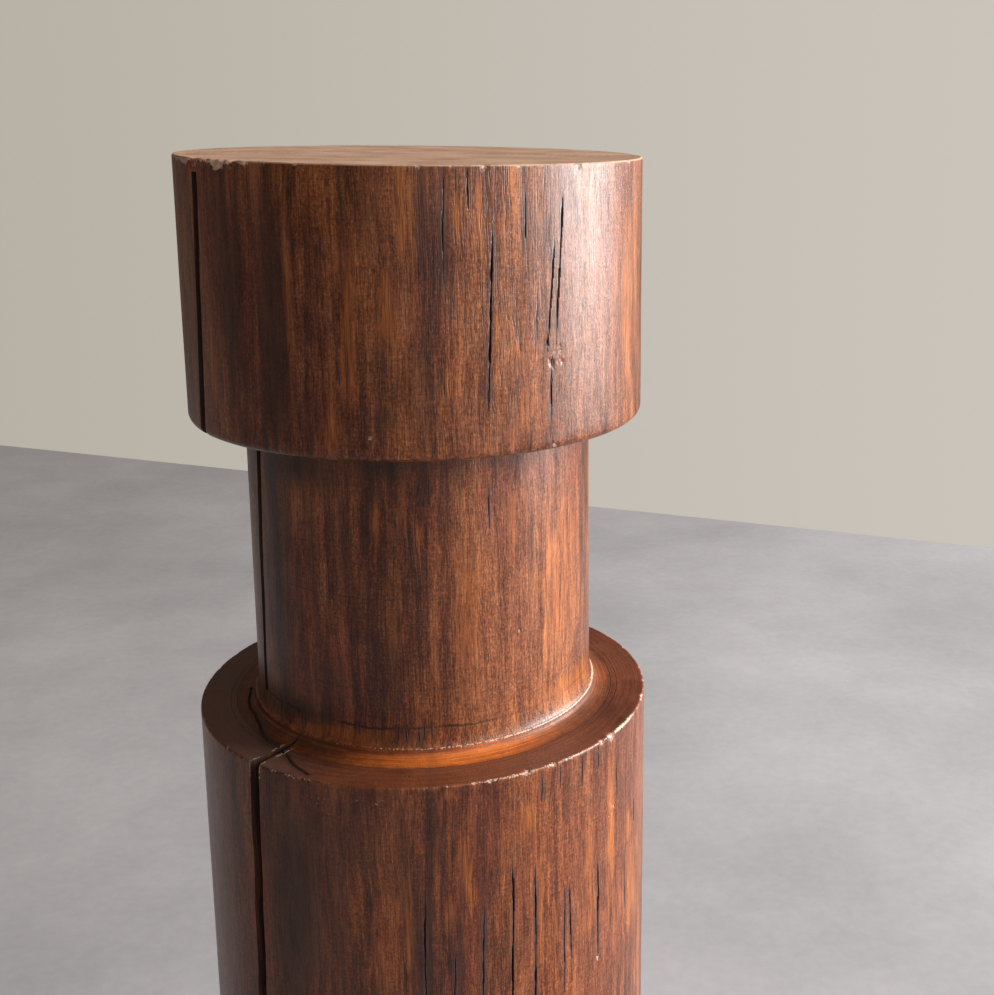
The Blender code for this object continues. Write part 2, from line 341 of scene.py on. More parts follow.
def choose_edges(piece, test):
    """In edit mode, select the edges whose two ends pass a test on arrays of their places."""
    bpy.context.tool_settings.mesh_select_mode = (False, True, False)
    bpy.ops.mesh.select_all(action="DESELECT")
    bm = bmesh.from_edit_mesh(piece.data)
    ends = np.array([(*edge.verts[0].co, *edge.verts[1].co) for edge in bm.edges])
    chosen = test(ends[:, :3], ends[:, 3:])
    for edge, wanted in zip(bm.edges, chosen):
        if wanted:
            edge.select_set(True)
    bmesh.update_edit_mesh(piece.data)
    return int(chosen.sum())


def choose_faces(piece, test):
    """In edit mode, select the faces whose middles pass a test on an array of their places."""
    bpy.context.tool_settings.mesh_select_mode = (False, False, True)
    bpy.ops.mesh.select_all(action="DESELECT")
    bm = bmesh.from_edit_mesh(piece.data)
    middles = np.array([tuple(face.calc_center_median()) for face in bm.faces])
    for face, wanted in zip(bm.faces, test(middles)):
        if wanted:
            face.select_set(True)
    bmesh.update_edit_mesh(piece.data)


def round_points(edge_radius, level, size, start_deg):
    """Points (r, z) of a quarter round on an outer edge, from start_deg up through 90 degrees."""
    middle = level + size if start_deg else level - size
    points = []
    for step in range(ROUND_STEPS + 1):
        angle = math.radians(start_deg + 90 * step / ROUND_STEPS)
        points.append((edge_radius - size + size * math.cos(angle), middle + size * math.sin(angle)))
    return points


def hollow_points(inner_radius, foot, width, height):
    """Points of a hollow quarter oval from its level foot up to (inner_radius, foot + height)."""
    points = []
    for step in range(HOLLOW_STEPS, -1, -1):
        angle = math.radians(90 * step / HOLLOW_STEPS)
        points.append((inner_radius + width * (1 - math.cos(angle)), foot + height * (1 - math.sin(angle))))
    return points


def wall_radius(height):
    """Radius of the drum's, the neck's or the cap's straight side at a height (arrays too)."""
    drum = DRUM_FOOT_RADIUS + (DRUM_TOP_RADIUS - DRUM_FOOT_RADIUS) * height / SHOULDER
    spread = NECK_FOOT_RADIUS + 0 * height
    neck_foot = LIP_TOP + SPREAD_HEIGHT
    rise = np.clip((height - neck_foot) / (CAP_FOOT - neck_foot), 0, 1)
    neck = spread + (NECK_TOP_RADIUS - NECK_FOOT_RADIUS) * rise
    rise = np.clip((height - CAP_FOOT) / (TOTAL_HEIGHT - CAP_FOOT), 0, 1)
    cap = CAP_FOOT_RADIUS + (CAP_TOP_RADIUS - CAP_FOOT_RADIUS) * rise
    return np.where(height > CAP_FOOT + HAIR, cap, np.where(height > SHOULDER + HAIR, neck, drum))


def outline():
    """The outline of the turning, from the rim of the underside up to the rim of the top face."""
    points = round_points(DRUM_FOOT_RADIUS, 0.0, DRUM_FOOT_ROUND, -90)
    points.append((float(wall_radius(COARSE_TOP)), COARSE_TOP))
    for down in reversed(RIM_ROWS):
        level = SHOULDER - DRUM_TOP_ROUND - down
        points.append((float(wall_radius(level)), level))
    points += round_points(DRUM_TOP_RADIUS, SHOULDER, DRUM_TOP_ROUND, 0)
    points += [(DRUM_TOP_RADIUS - DRUM_TOP_ROUND - inward, SHOULDER) for inward in RIM_ROWS]
    points += hollow_points(LIP_RADIUS, SHOULDER, RING_WIDTH, RING_RISE)
    points += [(LIP_RADIUS, LIP_TOP - LIP_SOFT), (LIP_RADIUS - LIP_SOFT / 3, LIP_TOP - LIP_SOFT / 3)]
    points += [(LIP_RADIUS - LIP_SOFT, LIP_TOP)]
    points += hollow_points(NECK_FOOT_RADIUS, LIP_TOP, SPREAD_WIDTH - LIP_SOFT, SPREAD_HEIGHT)[1:]
    points.append((NECK_TOP_RADIUS, CAP_FOOT))
    points += round_points(CAP_FOOT_RADIUS, CAP_FOOT, CAP_FOOT_ROUND, -90)
    for down in reversed(RIM_ROWS):
        level = TOTAL_HEIGHT - CAP_TOP_ROUND - down
        points.append((float(wall_radius(level)), level))
    points += round_points(CAP_TOP_RADIUS, TOTAL_HEIGHT, CAP_TOP_ROUND, 0)
    return points


def draw_up(points):
    """Draw a disc up along the outline, ring by ring, as a turner's outline swept round."""
    clean_slate()
    radius, level = points[0]
    bpy.ops.mesh.primitive_circle_add(
        vertices=AROUND, radius=radius, fill_type="NGON", location=(0, 0, level))
    piece = bpy.context.object
    bpy.ops.object.mode_set(mode="EDIT")
    for after, height in points[1:]:
        rise = (0, 0, height - level)
        bpy.ops.mesh.extrude_region_move(TRANSFORM_OT_translate={"value": rise})
        growth = after / radius
        bpy.ops.transform.resize(value=(growth, growth, 1), center_override=(0, 0, height))
        radius, level = after, height
    return piece


def close_disc(insets):
    """Ring the selected round face and gather its middle to one point."""
    for inset in insets:
        bpy.ops.mesh.inset(thickness=inset, depth=0)
    bpy.ops.mesh.poke()


def add_rows(piece, low, high, rows):
    """Cut the long faces between two rings into rows; low and high are (radius, height)."""
    def off(points, ring):
        radii = np.hypot(points[:, 0], points[:, 1])
        return np.abs(radii - ring[0]) + np.abs(points[:, 2] - ring[1])

    def between(one, other):
        found = False
        for first, second in ((one, other), (other, one)):
            found = found | ((off(first, low) < HAIR) & (off(second, high) < HAIR))
        return found

    choose_edges(piece, between)
    bpy.ops.mesh.subdivide(number_cuts=rows - 1, ngon=False)


def runs_round(one, other):
    """Edges that run round the turning: level, and at one radius."""
    level = np.abs(one[:, 2] - other[:, 2]) < HAIR
    return level & (np.abs(np.hypot(one[:, 0], one[:, 1]) - np.hypot(other[:, 0], other[:, 1])) < HAIR)


def turn_blank(name):
    """Turn the whole plinth: outline, rows of faces, top face and underside."""
    points = outline()
    piece = draw_up(points)
    close_disc(TOP_INSETS)
    choose_faces(piece, lambda middles: middles[:, 2] < HAIR)
    close_disc(UNDERSIDE_INSETS)
    first_rim_row = SHOULDER - DRUM_TOP_ROUND - RIM_ROWS[-1]
    foot_ring = (DRUM_FOOT_RADIUS, DRUM_FOOT_ROUND)
    coarse_ring = (float(wall_radius(COARSE_TOP)), COARSE_TOP)
    add_rows(piece, foot_ring, coarse_ring, COARSE_ROWS)
    add_rows(piece, coarse_ring, (float(wall_radius(first_rim_row)), first_rim_row), DRUM_ROWS)
    band_edge = DRUM_TOP_RADIUS - DRUM_TOP_ROUND - RIM_ROWS[-1]
    add_rows(piece, (band_edge, SHOULDER), (RING_RADIUS, SHOULDER), BAND_ROWS)
    add_rows(piece, (NECK_FOOT_RADIUS, LIP_TOP + SPREAD_HEIGHT), (NECK_TOP_RADIUS, CAP_FOOT), NECK_ROWS)
    add_rows(piece, (NECK_TOP_RADIUS, CAP_FOOT), (CAP_FOOT_RADIUS - CAP_FOOT_ROUND, CAP_FOOT), UNDER_ROWS)
    first_rim_row = TOTAL_HEIGHT - CAP_TOP_ROUND - RIM_ROWS[-1]
    cap_low = (CAP_FOOT_RADIUS, CAP_FOOT + CAP_FOOT_ROUND)
    add_rows(piece, cap_low, (float(wall_radius(first_rim_row)), first_rim_row), CAP_ROWS)
    bpy.ops.mesh.select_all(action="SELECT")
    bpy.ops.mesh.remove_doubles(threshold=HAIR / 10)
    bpy.ops.mesh.normals_make_consistent(inside=False)
    piece.name = name
    piece.data.name = name
    return piece


# Lines and noise

WANDER_SPAN = 1.3
WANDER_HEIGHTS = (-0.02, 1.2)


def wander(heights, step, seed):
    """A smooth random line, -1 to 1, with one knot at every step of height."""
    knots = np.random.default_rng(seed).uniform(-1, 1, int(WANDER_SPAN / step) + 4)
    places = np.clip(heights, *WANDER_HEIGHTS) / step + 1
    knot = np.floor(places).astype(int)
    part = places - knot
    part = part * part * (3 - 2 * part)
    return knots[knot] * (1 - part) + knots[knot + 1] * part


def bearings_of(points):
    """Bearing of points round the axis, in degrees from the front, positive towards +X."""
    return np.degrees(np.arctan2(points[:, 0], -points[:, 1]))


def turn_between(bearings, middle):
    """Signed turn from one bearing to others, in degrees, -180 to 180."""
    return (bearings - middle + 180) % 360 - 180


def on_wall(points):
    """True for points on the straight sides, as opposed to the level faces."""
    radii = np.hypot(points[:, 0], points[:, 1])
    return np.abs(radii - wall_radius(points[:, 2])) < ON_WALL


def along_check(check, seed, bearings, heights, radii):
    """Distance sideways from a check's line in metres, and the share of its length from its head."""
    (head_bearing, head), (foot_bearing, foot) = check.head, check.foot
    share = (head - heights) / (head - foot)
    line = head_bearing + (foot_bearing - head_bearing) * share
    sideways = np.radians(turn_between(bearings, line)) * radii
    for size, step, more in CHECK_SWAYS:
        sideways = sideways + size * wander(heights, step, seed + more)
    return sideways, share


def check_profile(check, seed, bearings, heights, radii, widen=0.0):
    """How deep in the check each point is, from 0 outside it to 1 on its line."""
    sideways, share = along_check(check, seed, bearings, heights, radii)
    inside = (share > 0) & (share < 1)
    at_head, at_foot = CHECK_TAPERS
    swell = np.clip(np.minimum(share / at_head, (1 - share) / at_foot), 0, 1) ** 0.6
    usual, ragged, step = CHECK_RAGGED
    swell = swell * (usual + ragged * wander(heights, step, seed + 900))
    half = CHECK_GAPE * check.opening / 2 * swell + widen * np.clip(swell * 3, 0, 1)
    depth = np.clip(1 - np.abs(sideways) / np.maximum(half, 1e-6), 0, 1)
    return np.where(inside, depth, 0.0), swell


def hidden_checks():
    """Small checks for the sides and the back, which the front doesn't show."""
    rng = np.random.default_rng(SEED)
    checks = []
    while len(checks) < HIDDEN_CHECKS:
        bearing = rng.uniform(*HIDDEN_SPAN)
        low, high = HIDDEN_STRETCHES[rng.integers(len(HIDDEN_STRETCHES))]
        length = min(rng.uniform(*HIDDEN_LENGTH), (high - low) * HIDDEN_LONGEST)
        head = rng.uniform(low + length, high)
        lean = rng.uniform(-HIDDEN_LEAN, HIDDEN_LEAN)
        opening = rng.uniform(*HIDDEN_OPENING)
        foot = (bearing + lean, head - length)
        checks.append(Check((bearing, head), foot, opening, opening * HIDDEN_DEPTH))
    for bearing, head in LOW_CHECKS:
        foot = (bearing + LOW_LEAN, head - LOW_LENGTH)
        checks.append(Check((bearing, head), foot, LOW_OPENING, LOW_DEPTH))
    return tuple(checks)


def neck_ticks():
    """Short upright nicks on the neck's foot, below its lowest tool line."""
    rng = np.random.default_rng(SEED + 2)
    ticks = []
    for place in rng.uniform(*TICK_SPAN, TICKS):
        head = rng.uniform(*TICK_HEAD)
        foot = rng.uniform(*TICK_FOOT)
        lean = rng.uniform(-TICK_LEAN, TICK_LEAN)
        ticks.append(Check((place, head), (place + lean, foot), TICK_OPENING, TICK_DEPTH))
    return tuple(ticks)


ALL_CHECKS = CHECKS + hidden_checks() + neck_ticks()


def near_checks(reach):
    """A test for edges that cross, or nearly cross, a check's line."""
    def test(one, other):
        middle = (one + other) / 2
        bearings, heights = bearings_of(middle), middle[:, 2]
        radii = np.hypot(middle[:, 0], middle[:, 1])
        found = np.zeros(len(middle), bool)
        for seed, check in enumerate(ALL_CHECKS):
            sideways, share = along_check(check, seed, bearings, heights, radii)
            span = check.head[1] - check.foot[1]
            over = (share > -CHECK_OVERRUN / span) & (share < 1 + CHECK_OVERRUN / span)
            found |= over & (np.abs(sideways) < reach)
        return found & runs_round(one, other) & on_wall(middle)
    return test


def near_rims(reach, back):
    """A test for edges along the rims, within reach, and up to a bearing off the front."""
    rims = ((CAP_TOP_RADIUS, TOTAL_HEIGHT), (DRUM_TOP_RADIUS, SHOULDER), (LIP_RADIUS, LIP_TOP))
    def test(one, other):
        middle = (one + other) / 2
        radii = np.hypot(middle[:, 0], middle[:, 1])
        found = np.zeros(len(middle), bool)
        for radius, height in rims:
            found |= np.hypot(radii - radius, middle[:, 2] - height) < reach
        return found & runs_round(one, other) & (np.abs(bearings_of(middle)) < back)
    return test


def near_pits(middles, reach):
    """True for places on the straight sides close to a bruise or to a chip off the rims."""
    found = np.zeros(len(middles), bool)
    spots = list(BRUISES)
    for chip in CHIPS:
        if abs(chip.height - SHOULDER) > AT_RIM and chip.height < TOTAL_HEIGHT - CAP_RIM_CHIPS:
            spots.append((chip.bearing, chip.height))
    for bearing, height in spots:
        turn = np.radians(turn_between(bearings_of(middles), bearing))
        aside = turn * wall_radius(np.array(height))
        found |= np.hypot(aside, middles[:, 2] - height) < reach
    return found & on_wall(middles)


def refine(piece):
    """Give the rims, the shake and the lines of the checks narrower faces."""
    for reach in SHAKE_REACHES:
        choose_faces(piece, lambda middles: shake_distance(middles) < reach)
        bpy.ops.mesh.subdivide(number_cuts=1, ngon=False)
    for reach in PIT_REACHES:
        choose_faces(piece, lambda middles: near_pits(middles, reach))
        bpy.ops.mesh.subdivide(number_cuts=1, ngon=False)
    for reach, back in RIM_REACHES:
        choose_edges(piece, near_rims(reach, back))
        bpy.ops.mesh.subdivide(number_cuts=1, ngon=False)
    for reach in CHECK_REACHES:
        choose_edges(piece, near_checks(reach))
        bpy.ops.mesh.subdivide(number_cuts=1, ngon=False)


# Wear and age, moved into the skin

def read_points(piece):
    """All the places of a mesh as an array."""
    places = np.empty(len(piece.data.vertices) * 3)
    piece.data.vertices.foreach_get("co", places)
    return places.reshape(-1, 3)


def write_points(piece, points):
    """Put an array of places back into the mesh."""
    piece.data.vertices.foreach_set("co", points.astype(np.float32).ravel())
    piece.data.update()


def uneven(points, seed, count, around, along):
    """Slow unevenness, -1 to 1, from a few waves that close up round the turning."""
    rng = np.random.default_rng(seed)
    bearings = np.radians(bearings_of(points))
    total = np.zeros(len(points))
    for _ in range(count):
        lobes = rng.integers(1, around)
        rise = rng.uniform(-along, along) * points[:, 2]
        total += np.sin(lobes * bearings + rise + rng.uniform(0, math.tau))
    return total / count ** 0.5 / 1.4


def shake_distance(points):
    """Distance from the growth shake's line on the shoulder."""
    bearings = bearings_of(points)
    radii = np.hypot(points[:, 0], points[:, 1])
    known = [bearing for bearing, _ in SHAKE]
    line = np.interp(bearings, known, [radius for _, radius in SHAKE])
    line = line + 0.0005 * np.sin(bearings * 0.31) + 0.0002 * np.sin(bearings * 0.83)
    inside = (bearings > known[0]) & (bearings < known[-1])
    level = (points[:, 2] > SHOULDER - 0.002) & (points[:, 2] < RING_TOP + 0.001)
    return np.where(inside & level, np.abs(radii - line), 1.0)


def chip_list():
    """The named chips and many small nicks along the rims."""
    rng = np.random.default_rng(SEED + 1)
    chips = list(CHIPS)
    for bearing, height in BRUISES:
        for _ in range(BRUISE_PITS):
            aside, up = rng.normal(0, 0.6, 2) * BRUISE_SPREAD
            radius = rng.uniform(*PIT_SIZE)
            chips.append(Chip(bearing + aside, height + up, radius, radius * PIT_DEPTH))
    smallest, more = RIM_NICK_SIZE
    for height in (TOTAL_HEIGHT - RIM_NICK_DROP, SHOULDER - RIM_NICK_DROP):
        for _ in range(RIM_NICKS):
            radius = smallest + more * rng.uniform() ** 2
            bearing = rng.uniform(-180, 180)
            chips.append(Chip(bearing, height, radius, radius * rng.uniform(*RIM_NICK_DEPTH)))
    return chips


ALL_CHIPS = chip_list()


def chip_profile(chip, points):
    """How far into a chip's scoop each point lies, 0 to 1."""
    bearing = math.radians(chip.bearing)
    radius = float(wall_radius(np.array(chip.height)))
    middle = np.array((radius * math.sin(bearing), -radius * math.cos(bearing), chip.height))
    away = np.linalg.norm(points - middle, axis=1)
    return np.clip(1 - (away / chip.radius) ** 2, 0, 1) ** 1.5


def weather(piece):
    """Move the skin: slow unevenness, checks, the shake, chips and nicks. Always inwards."""
    points = read_points(piece)
    radii = np.hypot(points[:, 0], points[:, 1])
    bearings = bearings_of(points)
    heights = points[:, 2].copy()
    walls = on_wall(points)
    inward = np.zeros(len(points))
    down = np.zeros(len(points))
    slow = 0.5 + 0.5 * uneven(points, 3, 7, 6, 22)
    fine = 0.5 + 0.5 * uneven(points, 4, 9, 40, 60)
    inward += np.clip(SLOW_WEAR * slow + FINE_WEAR * fine, 0, 1) * (radii > UNWORN_RADIUS)
    for seed, check in enumerate(ALL_CHECKS):
        depth, swell = check_profile(check, seed, bearings, heights, radii)
        rim_fade = np.clip((TOTAL_HEIGHT - heights) / CHECK_RIM_FADE, 0.15, 1)
        at_shoulder = np.clip((SHOULDER - heights) / CHECK_RIM_FADE, 0.15, 1)
        rim_fade = rim_fade * np.where(heights < SHOULDER, at_shoulder, 1)
        inward += np.where(walls, check.depth * swell * rim_fade * depth ** 0.75, 0)
    away = shake_distance(points)
    down += SHAKE_DEPTH * np.clip(1 - away / (SHAKE_OPENING / 2), 0, 1) ** 0.7
    for chip in ALL_CHIPS:
        near = np.abs(heights - chip.height) < chip.radius
        scoop = np.zeros(len(points))
        scoop[near] = chip_profile(chip, points[near])
        rough = 1 + 0.35 * wander(heights + radii * 3 + bearings * 0.001 + 0.3, 0.0012, 77)
        inward += chip.depth * scoop * rough
        at_rim = min(abs(chip.height - TOTAL_HEIGHT), abs(chip.height - SHOULDER)) < AT_RIM
        down += chip.depth * scoop * 0.6 * at_rim
    top_face = (heights > TOTAL_HEIGHT - HAIR) & (radii < CAP_TOP_RADIUS - 0.004)
    down += top_face * TOP_WEAR * (0.5 + 0.5 * uneven(points, 5, 6, 5, 1))
    keep = (radii - inward) / np.maximum(radii, 1e-9)
    points[:, 0] *= keep
    points[:, 1] *= keep
    points[:, 2] = np.maximum(heights - down, 0)
    write_points(piece, points)


# Splits

def split_cutter(split, seed, material):
    """A long wedge that stands for the open split, with wandering, frayed sides."""
    clean_slate()
    bpy.ops.mesh.primitive_cube_add(size=1, location=(0, 0, 0))
    cutter = bpy.context.object
    bpy.ops.object.mode_set(mode="EDIT")
    choose_edges(cutter, lambda one, other: np.abs(one[:, 2] - other[:, 2]) > 0.5)
    bpy.ops.mesh.subdivide(number_cuts=split.stations - 1, ngon=False)
    choose_edges(cutter, lambda one, other: np.abs(one[:, 1] - other[:, 1]) > 0.5)
    bpy.ops.mesh.subdivide(number_cuts=WALL_STRIPS - 1, ngon=False)
    bpy.ops.object.mode_set(mode="OBJECT")
    points = read_points(cutter)
    side = np.sign(points[:, 0])
    out = points[:, 1] + 0.5
    share = 0.5 - points[:, 2]
    level = split.levels[0] + (split.levels[1] - split.levels[0]) * share
    bearing = np.radians(split.bearings[0] + (split.bearings[1] - split.bearings[0]) * share)
    opening = split.openings[0] + (split.openings[1] - split.openings[0]) * share
    skin = split.skins[0] + (split.skins[1] - split.skins[0]) * share
    depth = split.depths[0] + (split.depths[1] - split.depths[0]) * share
    radius = skin - depth + (depth + OVERCUT) * out
    half = (SPLIT_HEART_WIDTH + (opening - SPLIT_HEART_WIDTH) * (radius - skin + depth) / depth) / 2
    lift = level + 0.05
    swing = SWING * wander(lift, SWING_STEP, seed) * out
    fray = FRAY * wander(lift, FRAY_STEP, seed + 20) * out
    own = np.where(side > 0, wander(lift, FRAY_STEP, seed + 41), wander(lift, FRAY_STEP, seed + 42))
    broad = np.where(side > 0, wander(lift, 0.020, seed + 43), wander(lift, 0.020, seed + 44))
    sideways = side * half + swing + fray + (FRAY * own + 1.6 * FRAY * broad) * out * side
    points[:, 0] = radius * np.sin(bearing) + sideways * np.cos(bearing)
    points[:, 1] = -radius * np.cos(bearing) + sideways * np.sin(bearing)
    points[:, 2] = level
    write_points(cutter, points)
    cutter.name = split.name
    cutter.data.materials.append(material)
    bpy.ops.object.mode_set(mode="EDIT")
    bpy.ops.mesh.select_all(action="SELECT")
    bpy.ops.mesh.normals_make_consistent(inside=False)
    bpy.ops.object.mode_set(mode="OBJECT")
    return cutter


def cut_splits(piece, material):
    """Cut the three lengths of the drying split out of the turning."""
    for seed, split in enumerate(SPLITS):
        cutter = split_cutter(split, 60 + seed, material)
        make_active(piece)
        boolean = piece.modifiers.new(split.name, "BOOLEAN")
        boolean.operation = "DIFFERENCE"
        boolean.solver = "EXACT"
        boolean.material_mode = "TRANSFER"
        boolean.object = cutter
        bpy.ops.object.modifier_apply(modifier=split.name)
        bpy.data.objects.remove(cutter, do_unlink=True)


# Painted masks, one value a vertex

def patches(points, table):
    """Soft upright patches, 0 to 1."""
    bearings, heights = bearings_of(points), points[:, 2]
    total = np.zeros(len(points))
    for bearing, height, half_width, half_height, strength in table:
        across = turn_between(bearings, bearing) / half_width
        along = (heights - height) / half_height
        total = np.maximum(total, strength * np.exp(-across ** 2 * 1.2 - np.abs(along) ** 3))
    return total


def paint_masks(piece):
    """Write the masks that the wood's material reads."""
    points = read_points(piece)
    radii = np.hypot(points[:, 0], points[:, 1])
    bearings, heights = bearings_of(points), points[:, 2]
    # Painted shade in the checks and along the shake, and on the checks' wider edges
    check = np.zeros(len(points))
    edge = np.zeros(len(points))
    true_radii = np.maximum(radii, wall_radius(heights))
    close = np.abs(radii - wall_radius(heights)) < AT_CHECK
    for seed, one in enumerate(ALL_CHECKS):
        depth, _ = check_profile(one, seed, bearings, heights, true_radii, widen=0.00022)
        check = np.maximum(check, np.clip(depth * 2.2, 0, 1) * close)
        depth, _ = check_profile(one, seed, bearings, heights, true_radii, widen=0.0020)
        edge = np.maximum(edge, depth * close)
    away = shake_distance(points)
    check = np.maximum(check, 0.7 * np.clip(1.3 - away / 0.0011, 0, 1) ** 1.5)
    # Smoky patches, with painted shade under the cap's overhang, and the stain along the shake
    smoke = np.maximum(patches(points, SMOKE_AND_SHADE), 0.9 * np.clip(1 - away / SHAKE_STAIN, 0, 1))
    # Pale wear on the chips and the rims, and painted highlights on the lips and the drum's rim
    worn = np.zeros(len(points))
    for chip in ALL_CHIPS:
        near = np.abs(heights - chip.height) < chip.radius * 1.2
        share = min(1.0, 0.35 + chip.radius / 0.0036) * 0.9
        worn[near] = np.maximum(worn[near], share * chip_profile(chip, points[near]))
    for rim_radius, rim_height, wear in (
        (CAP_TOP_RADIUS, TOTAL_HEIGHT, CAP_RIM_WEAR), (DRUM_TOP_RADIUS, SHOULDER, DRUM_RIM_WEAR_AND_HIGHLIGHT),
        (CAP_FOOT_RADIUS - CAP_FOOT_ROUND / 3, CAP_FOOT + CAP_FOOT_ROUND / 4, CAP_FOOT_WEAR),
    ):
        rubbed_and_highlight = np.interp(bearings, [bearing for bearing, _ in wear], [amount for _, amount in wear])
        rubbed_and_highlight = rubbed_and_highlight * (0.65 + 0.45 * wander((bearings + 180) / 400, 0.006, 91))
        away = np.hypot(radii - rim_radius + RUB_INSET, heights - rim_height + RUB_INSET)
        width = RUB_WIDTH[0] + RUB_WIDTH[1] * rubbed_and_highlight
        worn = np.maximum(worn, rubbed_and_highlight * np.clip(1.3 - away / width, 0, 1))
    # Pale lines along both lips of the drum's split: painted highlight where the lips catch the light
    cleft = SPLITS[-1]
    share = (cleft.levels[0] - heights) / (cleft.levels[0] - cleft.levels[1])
    middle = cleft.bearings[0] + (cleft.bearings[1] - cleft.bearings[0]) * share
    aside = np.abs(np.radians(turn_between(bearings, middle)) * radii)
    at_lip = np.clip(1.3 - np.abs(aside - CLEFT_LIP) / CLEFT_LIP_WIDTH, 0, 1)
    at_lip = at_lip * (heights > SHOULDER - CLEFT_LIP_DROP)
    worn = np.maximum(worn, at_lip * (radii > RING_RADIUS - 0.004) * (heights < RING_TOP) * 0.8)
    # A pale line along the neck's foot lip, strongest towards the window on the right: painted highlight
    lip = np.hypot(radii - LIP_RADIUS, heights - LIP_TOP) < 0.0011
    worn = np.maximum(worn, lip * np.clip(0.60 + 0.5 * np.sin(np.radians(bearings - 10)), 0.1, 0.9))
    values = {
        "check": check,
        "check_edge": edge,
        "worn": worn,
        "amber": patches(points, AMBER),
        "smoke": smoke,
        "even": patches(points, EVEN_AND_SHEEN),
    }
    for name, value in values.items():
        mask = piece.data.attributes.new(name, "FLOAT", "POINT")
        mask.data.foreach_set("value", value.astype(np.float32))


# Materials

class Wire:
    """One output of a node, with the arithmetic that the recipes use."""

    def __init__(self, paint, socket):
        self.paint = paint
        self.socket = socket

    def __add__(self, other):
        return self.paint.maths("ADD", self, other)

    def __radd__(self, other):
        return self.paint.maths("ADD", other, self)

    def __sub__(self, other):
        return self.paint.maths("SUBTRACT", self, other)

    def __rsub__(self, other):
        return self.paint.maths("SUBTRACT", other, self)

    def __mul__(self, other):
        return self.paint.maths("MULTIPLY", self, other)

    def __rmul__(self, other):
        return self.paint.maths("MULTIPLY", other, self)


class Paint:
    """The nodes of a material, or of the air round the scene, written as a recipe."""

    def __init__(self, owner, shader="Principled BSDF"):
        self.material = owner
        self.material.use_nodes = True
        self.tree = self.material.node_tree
        self.shader = self.tree.nodes[shader]
        self.place = self.node("TexCoord", output="Object")

    def node(self, kind, settings=None, inputs=None, output=0):
        """Add a node: its settings first, then the values or wires of its sockets."""
        node = self.tree.nodes.new("ShaderNode" + kind)
        for name, value in (settings or {}).items():
            if name == "stops":
                self.set_stops(node.color_ramp, value)
            else:
                setattr(node, name, value)
        for socket, value in (inputs or {}).items():
            self.feed(node.inputs[socket], value)
        return Wire(self, node.outputs[output])

    def feed(self, socket, value):
        """Link a wire into a socket, or set the socket's own value."""
        if isinstance(value, Wire):
            self.tree.links.new(value.socket, socket)
        else:
            socket.default_value = value

    def set_stops(self, ramp, stops):
        """Set a ramp's stops, each a place from 0 to 1 and a colour."""
        while len(ramp.elements) < len(stops):
            ramp.elements.new(0.5)
        for element, (position, colour) in zip(ramp.elements, stops):
            element.position = position
            element.color = (*colour, 1.0)

    def maths(self, operation, one, other, clamp=False):
        return self.node("Math", {"operation": operation, "use_clamp": clamp}, {0: one, 1: other})

    def vector(self, operation, one, other):
        return self.node("VectorMath", {"operation": operation}, {0: one, 1: other})

    def mix(self, factor, one, other, blend="MIX"):
        """Mix two colours."""
        settings = {"data_type": "RGBA", "blend_type": blend, "clamp_factor": True}
        return self.node("Mix", settings, {0: factor, 6: one, 7: other}, output=2)

    def ramp(self, factor, stops):
        return self.node("ValToRGB", {"stops": stops}, {0: factor})

    def spread(self, value, low, high, to_low=0.0, to_high=1.0):
        """Stretch low to high over to_low to to_high, and stop there."""
        settings = {"interpolation_type": "SMOOTHSTEP"}
        return self.node("MapRange", settings, {0: value, 1: low, 2: high, 3: to_low, 4: to_high})

    def noise(self, scale, squeeze=1.0, detail=2.0, rough=0.5, start=(0.0, 0.0, 0.0), place=None):
        """Cloudy noise, scale cells a metre, drawn out upwards where squeeze is small."""
        settings = {"vector_type": "POINT"}
        scales = (scale, scale, scale * squeeze)
        spot = self.node("Mapping", settings, {0: place or self.place, 1: start, 3: scales})
        return self.node("TexNoise", {"noise_dimensions": "3D"}, {0: spot, 2: 1.0, 3: detail, 4: rough})

    def push(self, scale, detail, reach):
        """A push sideways, up to half of reach each way, scale cells a metre."""
        sockets = {0: self.place, 2: scale, 3: detail}
        cloud = self.node("TexNoise", {"noise_dimensions": "3D"}, sockets, output=1)
        aside = self.vector("SUBTRACT", cloud, (0.5, 0.5, 0.5))
        return self.vector("MULTIPLY", aside, (reach, reach, 0.0))

    def tint(self, body, red, green, blue):
        """A colour times another."""
        return self.mix(1.0, body, colour(red, green, blue), "MULTIPLY")

    def apart(self, one, other):
        """How far apart two values are."""
        return self.maths("ABSOLUTE", self.maths("SUBTRACT", one, other), 0.0)

    def most(self, one, other):
        """The larger of two values."""
        return self.maths("MAXIMUM", one, other)

    def mask(self, name):
        """Read a painted mask."""
        return self.node("Attribute", {"attribute_name": name}, output=2)


def colour(red, green, blue):
    """A colour with its alpha."""
    return (red, green, blue, 1.0)


